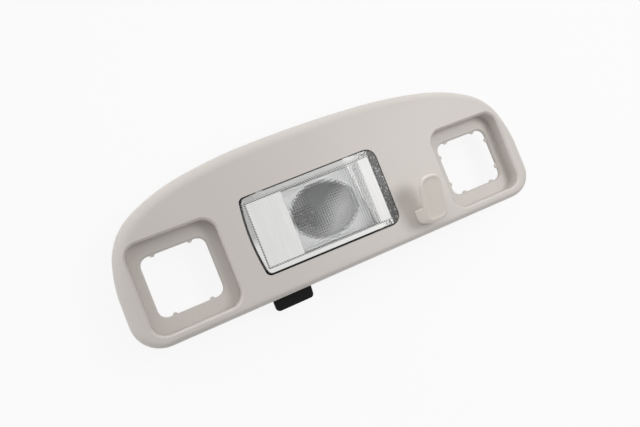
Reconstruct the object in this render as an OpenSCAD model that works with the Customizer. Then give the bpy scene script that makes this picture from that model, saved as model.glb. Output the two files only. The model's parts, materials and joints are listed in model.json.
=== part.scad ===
// Overhead car lamp panel: a D shaped cover with a swing-open lens in the middle,
// two recessed lamp seats with square cut-outs and a coat hook.
// Millimetres. Z = 0 is the plane of the rim's back, where the panel lies on the
// headliner, and the face looks along +Z. X runs along the straight edge, +Y points
// to the curved edge, and X = Y = 0 is midway between the two cut-outs.

/* [Panel] */
// Length of the panel
panel_w = 284; // [282:1:290]
// From the seats' centre line to the top of the curved edge
arc_y = 62.9; // [61:0.5:68]
// From the seats' centre line to the straight edge
edge_y = 34.5; // [34:0.5:38]
// Height of the face above the headliner
face_z = 13.5; // [12.5:0.5:15]
// Moulded wall
wall = 2.2; // [1.8:0.1:2.5]
// Height of the upright part of the rim
rim_h = 5.5; // [4.5:0.5:6.5]
// Rounding of the rim along the ends and the curved edge
rim_r = 8; // [6:0.5:9]
// Rounding of the rim along the straight edge
edge_r = 3.6; // [3:0.2:4.4]

/* [Outline arcs] */
// Sweep of the long arc at the top
crown_sweep = 2.5; // [2:0.5:4]
// Radius beside the long arc
flank_r = 320; // [300:10:340]
// Sweep beside the long arc
flank_sweep = 8.5; // [7:0.5:10]
// Radius before the shoulder
hip_r = 121; // [110:1:130]
// Sweep before the shoulder
hip_sweep = 16.5; // [14:0.5:18]
// Radius of the shoulder
shoulder_r = 38.5; // [34:0.5:42]
// Sweep of the shoulder
shoulder_sweep = 45.5; // [42:0.5:48]
// Radius of the end
end_r = 89; // [80:1:100]
// Radius of the corners at the straight edge
corner_r = 18.5; // [14:0.5:22]

/* [Lamp seats] */
// Distance of each cut-out's centre from the middle
hole_x = 104.8; // [104:0.2:108]
// Width of a cut-out
hole_w = 40; // [36:0.5:42]
// Height of a cut-out
hole_h = 37.6; // [34:0.2:40]
// Corner radius of a cut-out
hole_r = 5.5; // [4:0.5:8]
// Bevel round a cut-out
hole_bevel = 0.9; // [0.5:0.1:1.2]
// Width of a seat's recess
seat_w = 54; // [52:0.5:56]
// Height of a seat's recess
seat_h = 55.5; // [52:0.5:56]
// Recess centre, moved towards the middle from the cut-out's
seat_shift = 1.2; // [0:0.1:2]
// Corner radius of a recess
seat_r = 8.5; // [6:0.5:10]
// Rounded edge at a recess's mouth
mouth_r = 1.2; // [0.6:0.1:1.6]
// Front of the recess floor above the headliner
floor_z = 3; // [2.4:0.1:4]
// Thickness of the recess floor
floor_t = 2; // [1.6:0.1:2.2]
// Radius of a snap nub
nub_r = 1.6; // [1.2:0.1:2]
// How far a nub stands into the cut-out
nub_out = 1.3; // [0.8:0.1:1.6]
// Nubs on the long edges, from the cut-out's centre
nub_x = 11.5; // [8:0.5:13]
// Nubs on the short edges, from the cut-out's centre
nub_y = 10; // [7:0.5:12]

/* [Lens] */
// Lens, left end at its middle
lens_left = -60.7; // [-62:0.1:-60]
// Lens, right end
lens_right = 34.6; // [33:0.1:36]
// How far the lens swings open, in degrees
lens_swing = 40; // [30:1:40]
// Lens, edge nearest the straight edge
lens_low = -19; // [-20:0.1:-18]
// Lens, edge nearest the curved edge
lens_high = 32; // [31:0.1:33]
// Bow of the left end
lens_bow = 1.7; // [0.5:0.1:2]
// How much the upper edge drops at the left end
taper_high = 1.6; // [0:0.1:2]
// How much the lower edge rises at the left end
taper_low = 0.6; // [0:0.1:1]
// Corner radius at the right end
lens_r = 6.5; // [5.5:0.5:8]
// Corner radius at the left end
lens_left_r = 3.2; // [3:0.1:4]
// Thickness of the lens plate
lens_t = 2; // [1.8:0.1:2.2]
// How far the lens stands proud of the face
lens_proud = 0.2; // [0:0.1:0.4]
// Gap between the lens and the panel
lens_gap = 0.7; // [0.5:0.1:0.9]
// The same at the hinge end
end_gap = 0.4; // [0.35:0.05:0.6]
// Lugs in the gap along the lens, width
lug_w = 4.4; // [3:0.2:5]
// Inset of the lens skirt from the lens edge
skirt_inset = 2.6; // [2.6:0.1:2.9]
// Thickness of the skirt
skirt_t = 1.6; // [1.2:0.1:1.8]
// Height of the skirt's end above the headliner
skirt_z = 3.6; // [3.5:0.1:4.5]
// The same at the hinge end
skirt_left_z = 7.2; // [7:0.1:8]
// Pitch of the flutes inside the lens
flute_pitch = 1.65; // [1.5:0.05:3.3]
// Depth of the flutes
flute_h = 0.7; // [0.4:0.1:0.9]
// Left end of the fluted field, from the lens's left end
field_left = 28.2; // [27:0.1:30]
// Right end of the fluted field, from the lens's right end
field_right = 14.1; // [13:0.1:15]
// Rib beside the plain window, thickness
window_rib = 1.2; // [1:0.1:1.8]
// Rib beside the plain window, depth
window_rib_h = 1.6; // [1:0.1:1.9]
// Hinge axis, from the lens's left end
hinge_in = 9; // [8.6:0.1:9.4]
// Hinge axis above the headliner
hinge_z = 9; // [8.8:0.1:9.2]
// Radius of the hinge pins
pin_r = 1.3; // [1:0.1:1.4]
// Radial clearance of the hinge pins
pin_gap = 0.06; // [0.03:0.01:0.1]
// Bead that the latch holds, width
bead_w = 5; // [3:0.5:6]
// Bead that the latch holds, how far it stands out
bead_out = 0.6; // [0.4:0.1:0.7]

/* [Lamp body] */
// Wall of the lamp body
body_t = 2; // [1.6:0.1:2.2]
// Back of the lamp body, below the headliner plane
body_back = 16.5; // [16:0.5:20]
// Gap between the lens skirt and the body
skirt_gap = 0.4; // [0.3:0.05:0.6]
// Gap at the hinge end between the lens and the body
hinge_gap = 0.6; // [0.5:0.1:0.8]
// Width of the flange beyond the body's wall
flange_w = 2.7; // [2:0.1:2.7]
// Tongue, distance of its left side from the middle
tongue_left = 59.2; // [58:0.5:60]
// Tongue, width
tongue_w = 27.6; // [24:0.2:28]
// Tongue, how far its tip lies from the seats' centre line
tongue_y = 43; // [41:0.1:44]
// Tongue, slant of its right side
tongue_slant = 2; // [0:0.1:4]
// Tongue, depth of its front below the headliner plane
tongue_z = 3.4; // [3:0.1:5]
// Tongue, thickness
tongue_t = 2.5; // [2:0.1:3]
// Tongue, corner radius
tongue_r = 2.5; // [1.5:0.1:3]
// Connector shroud, length
shroud_l = 12; // [10:0.5:12]
// Connector shroud, outer width
shroud_w = 17; // [16:0.5:18]
// Connector shroud, outer height
shroud_h = 10.5; // [10:0.5:11]
// Connector shroud, wall
shroud_t = 1.4; // [1.2:0.1:1.6]
// Screw ears, distance of a screw from the body's wall
ear_out = 6.4; // [6.4:0.1:6.8]
// Screw ears, radius
ear_r = 3.5; // [3.2:0.1:3.6]
// Screw ears, back face above the headliner
ear_z = 3; // [2.5:0.5:3.5]
// Screw ears, thickness
ear_t = 2.2; // [2:0.1:2.6]

/* [Reflector] */
// Gap between the tray and the body
tray_gap = 0.3; // [0.2:0.05:0.4]
// Wall of the tray
tray_t = 1.4; // [1.2:0.1:1.5]
// White rim beside the lens skirt, thickness
rim_t = 1.3; // [1:0.1:1.4]
// Lip of that rim over the body's wall, thickness
lip_t = 1.2; // [0.8:0.1:1.4]
// Inset of the lip from the lens edge
lip_inset = 0.2; // [0.1:0.1:0.4]
// Floor round the raised deck, above the headliner
ledge_z = 2.6; // [2.4:0.1:2.8]
// Raised deck under the lens, above the headliner
deck_z = 9.3; // [8.8:0.1:9.4]
// Thickness of the deck and of the floor round it
deck_t = 1.6; // [1.4:0.1:1.6]
// Gap between the raised deck and the lens skirt
deck_gap = 0.4; // [0.4:0.1:0.8]
// Left end of the raised deck, from the hinge axis
deck_end = 0.8; // [0.5:0.1:0.9]
// Window in the deck, left edge
deck_left = -32; // [-32.5:0.1:-31.5]
// Window in the deck, right edge
deck_right = 20; // [19.5:0.1:20.5]
// Sheet of the bowl
bowl_t = 0.8; // [0.6:0.1:1]
// Centre of the bowl along the panel
bowl_x = -8.5; // [-9:0.5:-8]
// Half the length of the bowl's oval rim
bowl_a = 22.6; // [21.5:0.1:23]
// Half the width of the bowl's oval rim
bowl_b = 17.9; // [17:0.1:18]
// Depth of the bowl
bowl_depth = 14.5; // [14:0.1:15.5]
// How far the bowl's flange reaches under the deck, at the ends
bowl_lap = 5; // [4.5:0.5:5]
// Radius of the pegs that carry the bowl
peg_r = 1.25; // [1:0.05:1.4]
// Pegs, distance from the bowl's centre line
peg_y = 14.5; // [12:0.5:15]
// Radius of a push-on ring
ring_r = 2.2; // [2:0.1:2.3]

/* [Bulb] */
// Radius of the bulb's glass
bulb_r = 5; // [4.5:0.1:5]
// Length of the bulb's glass, without its base
bulb_l = 18; // [16:0.5:19]
// Length of the flat base
base_l = 9; // [8:0.5:9.5]
// Width of the flat base
base_w = 9.2; // [8.5:0.1:9.4]
// Thickness of the flat base
base_t = 2.6; // [2.2:0.1:2.8]
// Glass wall
glass_t = 0.6; // [0.5:0.1:0.8]
// Axis of the bulb above the headliner
bulb_z = 0.5; // [0.2:0.1:0.8]
// Bulb shoulder, from the bowl's centre
bulb_back = 23.5; // [23.3:0.1:24]
// Radius of the lead wires
lead_r = 0.3; // [0.25:0.05:0.35]
// Half the distance between the lead wires
lead_y = 1.6; // [1.4:0.1:2]

/* [Contacts] */
// Thickness of the strips
strip_t = 0.64; // [0.5:0.02:0.8]
// Width of the strips
strip_w = 4; // [3.5:0.1:4.4]
// Width of the connector blades
blade_w = 2.8; // [2.3:0.1:3]
// How far the blades' ends lie inside the shroud's mouth
blade_in = 4.8; // [4.6:0.1:5.5]
// Middle of the blades, above the floor of the lamp body
blade_up = 5.2; // [5:0.1:5.6]
// Half the distance between the strips
strip_y = 3.3; // [3:0.1:3.6]
// Length of the bulb holder
holder_l = 17; // [15:0.5:18]
// Width of the bulb holder
holder_w = 14; // [13.5:0.1:15]
// Radius of the eyelets' shank
eyelet_r = 1.2; // [1:0.05:1.3]

/* [Coat hook] */
// Left side of the hook
hook_x = 45.6; // [45:0.1:47]
// Width of the hook
hook_w = 15.5; // [14:0.5:16]
// Lower end of the paddle
hook_low = -27.3; // [-28:0.1:-26.5]
// Length of the paddle
paddle_l = 30.6; // [28:0.2:34]
// Thickness of the paddle
paddle_t = 4.2; // [3.6:0.1:5]
// Lean of the paddle away from the face
paddle_lean = 16.5; // [8:0.5:18]
// Height of the paddle's lower end above the face
paddle_h = 14; // [12:0.5:18]
// Depth of the post that carries the paddle
post_d = 10.3; // [9:0.1:11]
// Corner radius of the paddle's free end
paddle_r = 6.5; // [3:0.5:7]
// Corner radius of the paddle's lower end
paddle_low_r = 4.4; // [2:0.2:5]
// Rim round the dished front
dish_rim = 2; // [1.5:0.1:3]
// Depth of the dished front
dish_h = 0.7; // [0.5:0.1:1.5]
// Length of the steel plate behind the panel
plate_l = 15; // [13:0.5:16]
// Thickness of that plate
plate_t = 1.5; // [1.2:0.1:2]
// How far the plate reaches past the hook on each side
plate_out = 2; // [1:0.5:3]

/* [Roof clips] */
// Gap between the clips' fins and the lamp seats
clip_gap = 4.9; // [4.6:0.1:5.4]
// Clips near the curved edge
clip_high = 44; // [43:0.5:46]
// Clips near the straight edge
clip_low = -20; // [-22:0.5:-18]
// Depth of the fins' tips below the headliner plane
fin_z = 8; // [6:0.5:9]
// Thickness of a fin
fin_t = 2; // [1.8:0.1:2.2]
// Width of a fin
fin_w = 10; // [9:0.5:12]
// Thickness of the clips' steel
clip_t = 0.6; // [0.5:0.05:0.7]
// Width of a clip
clip_w = 8; // [7:0.5:9]
// How far the clips' wings spread
clip_spread = 4.2; // [3.6:0.1:4.4]

/* [Screws] */
// Lamp screws, length under the head
lamp_screw_l = 7.4; // [6.5:0.1:7.6]
// Lamp screws, radius of the head
lamp_head_r = 3.2; // [2.8:0.1:3.3]
// Tray screws, length under the head
tray_screw_l = 8.6; // [8:0.1:9]
// Tray screws, radius of the head
tray_head_r = 2.7; // [2.4:0.1:2.9]
// Hook screws, length under the head
hook_screw_l = 11.5; // [10:0.1:11.8]
// Hook screws, radius of the head
hook_head_r = 3.8; // [3.4:0.1:4]

/* [Hidden] */
$fn = 48;
eps = 0.01;

// Heights
under_z = face_z - wall;
lens_top = face_z + lens_proud;
lens_under = lens_top - lens_t;
body_floor = -body_back + body_t;
deck_under = deck_z - deck_t;
ledge_under = ledge_z - deck_t;
mid_y = (lens_high + lens_low)/2;

// A point on a circle
function polar(c, r, a) = [c[0] + r*cos(a), c[1] + r*sin(a)];
// Points of an arc
function arc(c, r, a, sweep, n) = [for (i = [0:n]) polar(c, r, a + sweep*i/n)];

// Closed outline through corner points [x, y, radius], each corner rounded
function unit(v) = v/norm(v);
function corner(a, b, c, n) =
    let(p = [b[0], b[1]], u = unit([a[0], a[1]] - p), v = unit([c[0], c[1]] - p))
    let(h = acos(u*v)/2, o = p + unit(u + v)*b[2]/sin(h))
    let(t = p + u*b[2]/tan(h) - o, w = p + v*b[2]/tan(h) - o)
    let(s = atan2(t[0]*w[1] - t[1]*w[0], t*w))
    arc(o, b[2], atan2(t[1], t[0]), s, n);
function rounded(p, n = 8) =
    [for (i = [0:len(p) - 1]) let(b = p[i])
        each (b[2] > 0
            ? corner(p[(i + len(p) - 1) % len(p)], b, p[(i + 1) % len(p)], n)
            : [[b[0], b[1]]])];

// Closed outline of a bent strip of thickness t along an open line of points
function side_of(p, i) =
    let(a = i == 0 ? p[1] - p[0] : unit(p[i] - p[i - 1]))
    let(b = i == len(p) - 1 ? a : unit(p[i + 1] - p[i]))
    let(m = unit(unit(a) + b), c = m*unit(a))
    [-m[1], m[0]]/c;
function ribbon(p, t) = concat(
    [for (i = [0:len(p) - 1]) p[i] + side_of(p, i)*t/2],
    [for (i = [len(p) - 1:-1:0]) p[i] - side_of(p, i)*t/2]);

// Panel outline: arcs from the top to the straight edge, inset by d, and by b at that edge
end_sweep = 90 - crown_sweep - flank_sweep - hip_sweep - shoulder_sweep;
sweeps = [crown_sweep, flank_sweep, hip_sweep, shoulder_sweep, end_sweep];
steps = [3, 5, 7, 12, 5];
function turned(i) = i == 0 ? 0 : turned(i - 1) + sweeps[i - 1];
small_r = [0, flank_r, hip_r, shoulder_r, end_r];
function reach(i) = i == 0 ? 0
    : reach(i - 1) + small_r[i]*(sin(turned(i) + sweeps[i]) - sin(turned(i)));
crown_r = (panel_w/2 - reach(4))/sin(crown_sweep);
radii = [crown_r, flank_r, hip_r, shoulder_r, end_r];
function centre(i) = i == 0 ? [0, arc_y - crown_r]
    : centre(i - 1) + (radii[i - 1] - radii[i])*[sin(turned(i)), cos(turned(i))];
function half_outline(d, b) = concat(
    [for (i = [0:4]) for (k = [0:steps[i] - 1])
        polar(centre(i), radii[i] - d, 90 - turned(i) - sweeps[i]*k/steps[i])],
    arc([panel_w/2 - corner_r, -edge_y + b + corner_r - d], corner_r - d, 0, -90, 9));
function mirrored(p) = [for (i = [len(p) - 1:-1:1]) [-p[i][0], p[i][1]]];
function panel_outline(d, b) = let(h = half_outline(d, b)) concat(h, mirrored(h));

// A plate of a given outline between two heights
module plate(outline, low, high)
    translate([0, 0, low]) linear_extrude(high - low) polygon(outline);

// A box from its lowest to its highest corner
module box(low, high) translate(low) cube(high - low);

// Lens outline, inset by d and by e at the left end: tapered to the left, with a bowed end
left_corner = lens_left + lens_bow;
function lens_outline(d, e) =
    let(x0 = left_corner + (is_undef(e) ? d : e), x1 = lens_right - d)
    let(y0 = lens_low + d, y1 = lens_high - d, r = max(lens_left_r - d, 0.4))
    let(top = y1 - taper_high - r, low = y0 + taper_low + r, c = (top + low)/2)
    concat(
        arc([x1 - lens_r + d, y1 - lens_r + d], lens_r - d, 0, 90, 8),
        arc([x0 + r, top], r, 90, 80, 5),
        [for (i = [-5:5]) let(u = i/6) [x0 - lens_bow*(1 - u*u), c - u*(top - low)/2]],
        arc([x0 + r, low], r, 190, 80, 5),
        arc([x1 - lens_r + d, y0 + lens_r - d], lens_r - d, 270, 90, 8));

// The lens's long edges at a place along the panel
function taper_at(x) = (lens_right - x)/(lens_right - lens_left);
function edge_high(x) = lens_high - taper_high*taper_at(x);
function edge_low(x) = lens_low + taper_low*taper_at(x);
// Outline between two ends, inset by d from those edges, with corner radii at left and right
function bay(x0, x1, d, r0 = 0, r1 = 0) = rounded([
    [x1, edge_high(x1) - d, r1], [x0, edge_high(x0) - d, r0],
    [x0, edge_low(x0) + d, r0], [x1, edge_low(x1) + d, r1]], 8);

// Lamp body cavity, grown by g: room for the skirt, and beside it for the white rim
end_inset = skirt_inset - skirt_gap;
side_inset = end_inset - rim_t - tray_gap;
cavity_left = lens_left - hinge_gap;
cavity_right = lens_right - end_inset;
function cavity(g) =
    bay(cavity_left - g, cavity_right + g, side_inset - g, 2 + g, lens_r - end_inset + g);
function high_at(x) = edge_high(x) - side_inset;
function low_at(x) = edge_low(x) + side_inset;

hinge_x = lens_left + hinge_in;

// Panel

// Solid crown between the upright rim and a top height, inset by d
module crown(d, top) {
    hull() for (f = [0:15:90])
        let(h = top - rim_h, s = 1 - cos(f))
        plate(panel_outline(d + (rim_r - d)*s, d + max(edge_r - d, 0.6)*s),
              rim_h + h*sin(f) - eps, rim_h + h*sin(f));
}

// Rounded rectangle about a centre, with inset d
function slot_outline(c, w, h, r, d = 0) = rounded([
    [c[0] + w/2 - d, c[1] + h/2 - d, r - d], [c[0] - w/2 + d, c[1] + h/2 - d, r - d],
    [c[0] - w/2 + d, c[1] - h/2 + d, r - d], [c[0] + w/2 - d, c[1] - h/2 + d, r - d]], 6);

function seat_centre(side) = [side*(hole_x - seat_shift), 0];

// Tub of one lamp seat
module seat_tub(side)
    plate(slot_outline(seat_centre(side), seat_w + 2*wall, seat_h + 2*wall, seat_r + wall),
          floor_z - floor_t, face_z - rim_r/4);

// Space in one lamp seat, with its rounded mouth and bevelled cut-out
module seat_space(side) {
    c = seat_centre(side);
    plate(slot_outline(c, seat_w, seat_h, seat_r), floor_z, face_z + 1);
    hull() for (f = [0:30:90])
        plate(slot_outline(c, seat_w, seat_h, seat_r, -mouth_r*(1 - cos(f))),
              face_z - mouth_r*(1 - sin(f)), face_z + eps);
    hole = [side*hole_x, 0];
    plate(slot_outline(hole, hole_w, hole_h, hole_r), floor_z - floor_t - 1, floor_z + 1);
    hull() {
        plate(slot_outline(hole, hole_w, hole_h, hole_r), floor_z - hole_bevel, floor_z);
        plate(slot_outline(hole, hole_w, hole_h, hole_r, -hole_bevel),
              floor_z, floor_z + eps);
    }
}

// Snap nubs: on the long edges of both cut-outs, and on the short edges of the right one
module seat_nubs(side) {
    sink = nub_r - nub_out;
    for (u = [-1, 1], v = [-1, 1])
        translate([side*hole_x + u*nub_x, v*(hole_h/2 + sink), floor_z - floor_t])
            cylinder(h = floor_t - hole_bevel, r = nub_r);
    if (side > 0)
        for (u = [-1, 1], v = [-1, 1])
            translate([side*hole_x + u*(hole_w/2 + sink), v*nub_y, floor_z - floor_t])
                cylinder(h = floor_t - hole_bevel, r = nub_r);
}

// Places of the lamp screws
screw_x = [-45, 22];
screw_reach = body_t + ear_out;
screw_places = [for (x = screw_x) each [[x, high_at(x) + screw_reach], [x, low_at(x) - screw_reach]]];
screw_high = high_at(lens_right) + screw_reach;
screw_low = low_at(lens_right) - screw_reach;
boss_z = ear_z + ear_t;
boss_r = ear_r;
screw_hole = 1.5;
screw_play = 0.25;

// Places of the hook screws
hook_screw_y = hook_low + 6;
hook_screw_places = [for (s = [-1, 1]) [hook_x + hook_w/2 + s*hook_w*0.29, hook_screw_y]];
hook_hole = 2.1;

clip_x = hole_x - seat_shift - seat_w/2 - wall - clip_gap - fin_t/2;
clip_places = [for (x = [-clip_x, clip_x]) each [[x, clip_high], [x, clip_low]]];

rib_t = 1.4;
rib_z = 6.5;
// Ribs to the curved edge and to the straight edge, along the panel
high_ribs = [-28, 0, 45];
low_ribs = [-12, 38];

// Height of the curved edge above the seats' centre line at a place along the panel
function top_at(x) = lookup(abs(x), [for (p = half_outline(rim_r/2, edge_r)) if (p[1] > 0) p]);

// Ribs behind the face
module panel_ribs() {
    for (x = [-clip_x, clip_x])
        box([x - rib_t/2, clip_high, rib_z], [x + rib_t/2, top_at(x), under_z + eps]);
    for (x = high_ribs)
        box([x - rib_t/2, screw_high + 1, rib_z], [x + rib_t/2, top_at(x), under_z + eps]);
    box([-clip_x, clip_high + 2, rib_z], [clip_x, clip_high + 2 + rib_t, under_z + eps]);
    for (x = low_ribs)
        box([x - rib_t/2, -edge_y + wall/2, rib_z],
            [x + rib_t/2, screw_low + 2, under_z + eps]);
    for (x = [-1, 1])
        box([min(x*clip_x, x*(clip_x + clip_gap + fin_t)), clip_low - rib_t/2, rib_z],
            [max(x*clip_x, x*(clip_x + clip_gap + fin_t)), clip_low + rib_t/2, under_z + eps]);
}

module panel() color([0.80, 0.785, 0.76]) {
    difference() {
        union() {
            difference() {
                union() {
                    plate(panel_outline(0, 0), 0, rim_h);
                    crown(0, face_z);
                }
                plate(panel_outline(wall, wall), -1, rim_h);
                crown(wall, under_z);
            }
            for (side = [-1, 1]) seat_tub(side);
            for (p = screw_places)
                translate([p[0], p[1], boss_z]) cylinder(h = under_z - boss_z + eps, r = boss_r);
            for (p = clip_places)
                box([p[0] - fin_t/2, p[1] - fin_w/2, -fin_z],
                    [p[0] + fin_t/2, p[1] + fin_w/2, under_z + eps]);
            panel_ribs();
        }
        for (side = [-1, 1]) seat_space(side);
        plate(lens_outline(-lens_gap, -end_gap), under_z - 1, face_z + 1);
        for (p = screw_places)
            translate([p[0], p[1], boss_z - 1]) cylinder(h = under_z - boss_z + 0.6, r = screw_hole);
        for (p = hook_screw_places)
            translate([p[0], p[1], under_z - 1]) cylinder(h = wall + 2, r = hook_hole);
    }
    for (side = [-1, 1]) seat_nubs(side);
}

// Lens

field_x0 = lens_left + field_left;
field_x1 = lens_right - field_right;

// Fluted field: one saw-toothed section drawn along Y
module flutes() {
    n = floor((field_x1 - field_x0)/flute_pitch);
    in = skirt_inset + skirt_t;
    y0 = lens_low + in + taper_low;
    y1 = lens_high - in - taper_high;
    teeth = [for (i = [0:2*n]) [field_x0 + i*flute_pitch/2, (i % 2)*-flute_h]];
    translate([0, y1, lens_under])
        rotate([90, 0, 0]) linear_extrude(y1 - y0)
            polygon(concat(teeth, [[field_x0 + n*flute_pitch, 0.3], [field_x0, 0.3]]));
}

module lens_skirt() {
    in = skirt_inset + skirt_t;
    cut_x = hinge_x - 1;
    difference() {
        plate(lens_outline(skirt_inset), skirt_z, lens_under + eps);
        plate(lens_outline(in), skirt_z - 1, lens_under + 1);
        box([lens_left - 1, lens_low, skirt_z - 1], [cut_x, lens_high, skirt_left_z]);
    }
}

// Hinge pins reach from the skirt into the body's wall
module hinge_pins(r, out) {
    for (s = [-1, 1]) {
        y_wall = s > 0 ? high_at(hinge_x) : low_at(hinge_x);
        reach = skirt_inset - side_inset + skirt_t;
        translate([hinge_x, y_wall - s*reach, hinge_z]) rotate([-90*s, 0, 0])
            cylinder(h = reach + out, r = r);
    }
}

// The hinge end is turned about the hinge axis, so that it clears the panel as it swings
module hinge_end() {
    edge = [for (p = lens_outline(0)) if (p[0] < hinge_x - 0.5) [hinge_x - p[0], p[1]]];
    last = edge[len(edge) - 1];
    translate([hinge_x, 0, hinge_z]) rotate([90, 0, 0]) mirror([0, 0, 1])
        rotate_extrude($fn = 96)
            polygon(concat([[0, edge[0][1]]], edge, [[0, last[1]]]));
}

// Lugs that bridge most of the gap beside the lens
module lens_lugs() {
    out = lens_gap - 0.2;
    for (x = [lens_left + 15.5, lens_right - 19.6], up = [true, false])
        if (up || x > 0) {
            y = up ? edge_high(x) : edge_low(x);
            box([x - lug_w/2, min(y, y + (up ? out : -out)) - (up ? 0.3 : 0), lens_under],
                [x + lug_w/2, max(y, y + (up ? out : -out)) + (up ? 0 : 0.3), lens_top - 0.3]);
        }
}

module lens() color([0.93, 0.95, 0.96, 0.45]) {
    in = skirt_inset + skirt_t;
    lens_lugs();
    difference() {
        plate(lens_outline(0), lens_under, lens_top);
        difference() {
            box([lens_left - 1, lens_low - 1, lens_under - 1],
                [hinge_x, lens_high + 1, lens_top + 1]);
            hinge_end();
        }
    }
    flutes();
    lens_skirt();
    box([field_x1 + 0.6, lens_low + in - eps, lens_under - window_rib_h],
        [field_x1 + 0.6 + window_rib, lens_high - in + eps, lens_under + eps]);
    hinge_pins(pin_r, body_t*0.8);
    translate([lens_right - skirt_inset - eps, mid_y - bead_w/2, skirt_z])
        rotate([-90, 0, 0]) linear_extrude(bead_w)
            polygon([[0, 0], [bead_out, -0.5], [bead_out, -1.1], [0, -1.7]]);
}

// Lamp body

latch_w = 7.4;
latch_pocket = 3.5;
body_top = under_z;
flange_z = body_top - body_t;
shroud_z = body_floor;
blade_z = body_floor + blade_up;
strip_under = blade_z - strip_t/2;
eyelet_x = cavity_left + 4.9;
post_r = 3;
post_z = body_floor + 2.5;
post_x = cavity_left + tray_gap + tray_t + post_r + 1.4;
post_places = [for (s = [-1, 1]) [post_x, mid_y + s*peg_y]];
tray_hole = 1.3;

// Ends of the tray's white rim, clear of the hinge and of the lens's rounded corners
knuckle_r = lens_under - hinge_z - 0.3;
rim_left = hinge_x + knuckle_r + 0.6;
rim_right = lens_right - lens_r - 1.5;

// Tongue that hooks behind the headliner, with two gussets
module tongue() {
    x0 = -tongue_left;
    x1 = x0 + tongue_w;
    root = low_at(x0) - body_t + eps;
    plate(rounded([[x0, root, 0], [x0, -tongue_y, tongue_r],
                   [x1 - tongue_slant, -tongue_y, tongue_r], [x1, root, 0]], 6),
          -tongue_z - tongue_t, -tongue_z);
    for (x = [x0 + 3, x1 - 7])
        translate([x, root, -tongue_z - tongue_t]) rotate([90, 0, 90]) linear_extrude(2)
            polygon([[eps, eps], [-11, eps], [eps, -7]]);
}

// Room in the side walls for the hinge end of the lens, round the knuckles of the pins
module hinge_relief() {
    r = hinge_in + 0.4;
    low = 180 + asin((lens_under - hinge_z)/hinge_in)*-1 + lens_swing + 3;
    translate([hinge_x, lens_high + 0.4, hinge_z]) rotate([90, 0, 0])
        linear_extrude(lens_high - lens_low + 0.8) difference() {
            polygon(concat([[0, 0]], arc([0, 0], r, 90, low - 90, 16)));
            circle(r = knuckle_r);
        }
}

module ear(p) {
    wall_y = p[1] > mid_y ? p[1] - ear_out - 0.5 : p[1] + ear_out + 0.5;
    translate([p[0], p[1], ear_z]) cylinder(h = ear_t, r = ear_r);
    box([p[0] - ear_r, min(p[1], wall_y), ear_z], [p[0] + ear_r, max(p[1], wall_y), ear_z + ear_t]);
}

module shroud() {
    x1 = cavity_left - body_t + eps;
    difference() {
        box([x1 - shroud_l, mid_y - shroud_w/2, shroud_z],
            [x1, mid_y + shroud_w/2, shroud_z + shroud_h]);
        box([x1 - shroud_l - 1, mid_y - shroud_w/2 + shroud_t, shroud_z + shroud_t],
            [x1 - eps, mid_y + shroud_w/2 - shroud_t, shroud_z + shroud_h - shroud_t]);
    }
    // Catch for the plug's latch
    translate([x1 - shroud_l + 5, mid_y + 2.5, shroud_z + shroud_h - eps])
        rotate([90, 0, 0]) linear_extrude(5) polygon([[0, 0], [3, 1.3], [3, 0]]);
}

module lamp_body() color([0.09, 0.09, 0.095]) difference() {
    union() {
        difference() {
            union() {
                plate(cavity(body_t), -body_back, body_top);
                plate(cavity(body_t + flange_w), flange_z, body_top);
                for (p = screw_places) ear(p);
                // Housing of the latch
                box([cavity_right + body_t - eps, mid_y - latch_w/2 - 1.2, skirt_z - 2],
                    [cavity_right + latch_pocket + 1.4, mid_y + latch_w/2 + 1.2, flange_z]);
            }
            plate(cavity(0), body_floor, body_top + 1);
            for (p = screw_places)
                translate([p[0], p[1], ear_z - 1]) cylinder(h = ear_t + 2, r = screw_hole + screw_play);
            // Rebate for the tray's lip
            plate(bay(rim_left - 0.3, rim_right + 0.3, lip_inset - 0.15), body_top - lip_t - 0.1, body_top + 1);
        }
        tongue();
        shroud();
        // Stand of the contact strips
        box([eyelet_x - 2.6, mid_y - strip_y - strip_w/2 - 0.8, body_floor - eps],
            [eyelet_x + 2.6, mid_y + strip_y + strip_w/2 + 0.8, strip_under]);
        for (p = post_places)
            translate([p[0], p[1], body_floor - eps]) cylinder(h = post_z - body_floor + eps, r = post_r + 1);
        // Stops that keep the bulb holder in place
        for (s = [-1, 1])
            box([holder_x0, mid_y + s*(holder_w/2 + 0.9) - 0.7, body_floor - eps],
                [holder_x0 + holder_l, mid_y + s*(holder_w/2 + 0.9) + 0.7, body_floor + 3]);
    }
    // Latch pocket and the bead's way out
    box([cavity_right - eps, mid_y - latch_w/2, skirt_z - 0.6],
        [cavity_right + latch_pocket, mid_y + latch_w/2, skirt_z + 4.9]);
    box([cavity_right - eps, mid_y - bead_w/2 - 0.5, skirt_z],
        [cavity_right + 1, mid_y + bead_w/2 + 0.5, body_top + 1]);
    hinge_relief();
    hinge_pins(pin_r + pin_gap, body_t);
    for (s = [-1, 1]) {
        y = mid_y + s*strip_y;
        box([cavity_left - body_t - 1, y - blade_w/2 - 0.1, blade_z - strip_t/2 - 0.1],
            [cavity_left + 1, y + blade_w/2 + 0.1, blade_z + strip_t/2 + 0.1]);
        translate([eyelet_x, y, body_floor]) cylinder(h = 8, r = eyelet_r + 0.05);
    }
    for (p = post_places) translate([p[0], p[1], -body_back - 1]) {
        cylinder(h = 4, r = post_r + 0.1);
        cylinder(h = 10, r = tray_hole + 0.3);
    }
}

// Reflector tray

skirt_in = skirt_inset + skirt_t;
function deck_outline(g) = bay(hinge_x - deck_end + g, lens_right - skirt_in - deck_gap - g,
                               skirt_in + deck_gap + g, 1.5, max(lens_r - skirt_in - deck_gap - g, 0.5));
win_high = edge_high(deck_left) - skirt_in - deck_gap;
win_low = edge_low(deck_left) + skirt_in + deck_gap;
peg_x = [deck_left - 2.6, deck_right + 2.6];

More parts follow.
